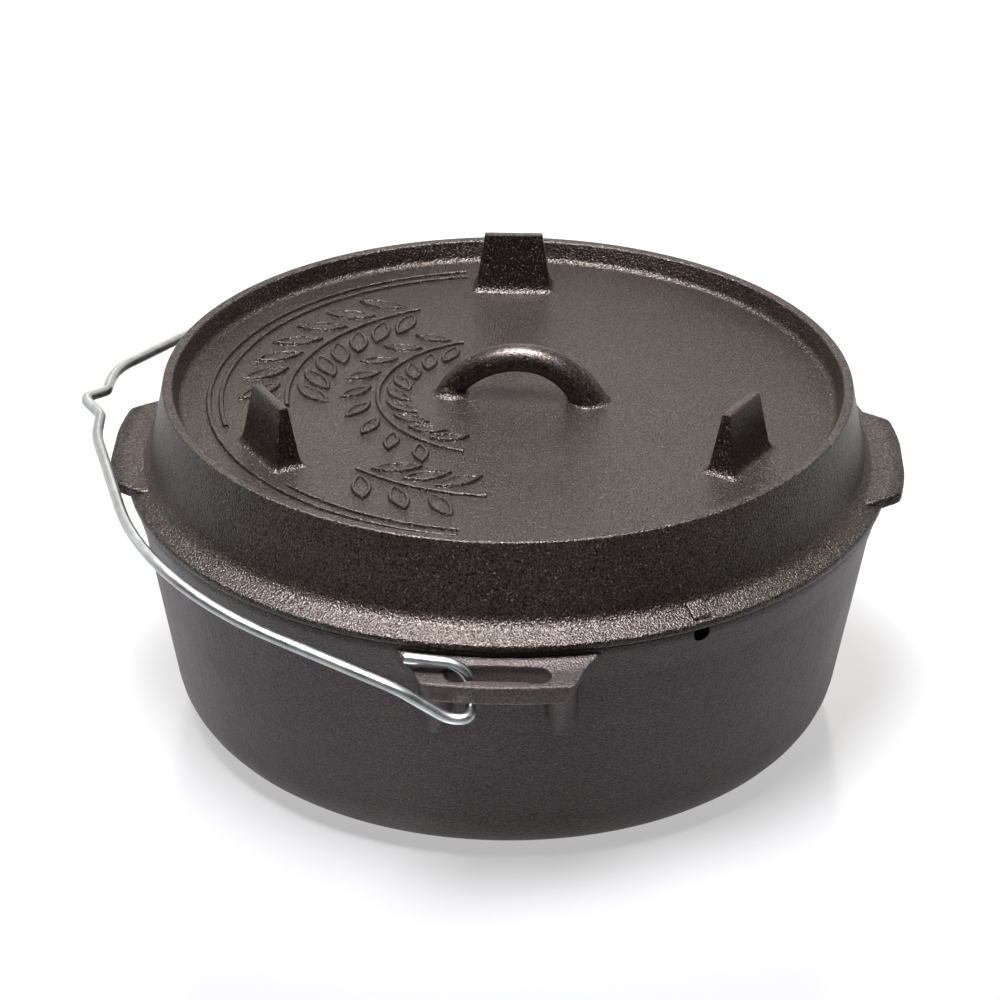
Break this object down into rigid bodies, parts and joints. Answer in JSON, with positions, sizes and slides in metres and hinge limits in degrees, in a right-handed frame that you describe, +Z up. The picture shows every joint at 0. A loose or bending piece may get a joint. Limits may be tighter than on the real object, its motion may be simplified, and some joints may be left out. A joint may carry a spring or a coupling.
{
  "type": "camp dutch oven",
  "caption": "Round cast iron camp pot with slotted ears, a rimmed lid that stands on its own feet and has an arched handle, and a bent wire bail.",
  "frame": {"origin": "centre of the pot's flat base, on the surface that it stands on", "axes": "+Z up along the pot's axis, Y through the pot's two ears, X through the lid's two lugs; the bail lies towards -X and the camera of the picture stands at -Y"},
  "size_m": [0.3366, 0.3524, 0.1615],
  "materials": {
    "pot_iron": "seasoned sand-cast iron, dark brown-black, fine grain",
    "lid_iron": "seasoned sand-cast iron, dark brown-black, fine grain",
    "bail_wire": "bright zinc-plated steel wire"
  },
  "bodies": {
    "pot": {"pot": "pot_iron"},
    "lid": {"lid": "lid_iron"},
    "bail": {"bail": "bail_wire"}
  },
  "joints": [
    {"name": "lid_lift", "type": "slide", "parent": "pot", "child": "lid", "axis": [0, 0, 1], "range_m": [0, 0.15]},
    {"name": "bail_swing", "type": "hinge", "parent": "pot", "child": "bail", "pos_m": [-0.01, 0, 0.0887], "axis": [0, 1, 0], "range_deg": [0, 105]}
  ]
}
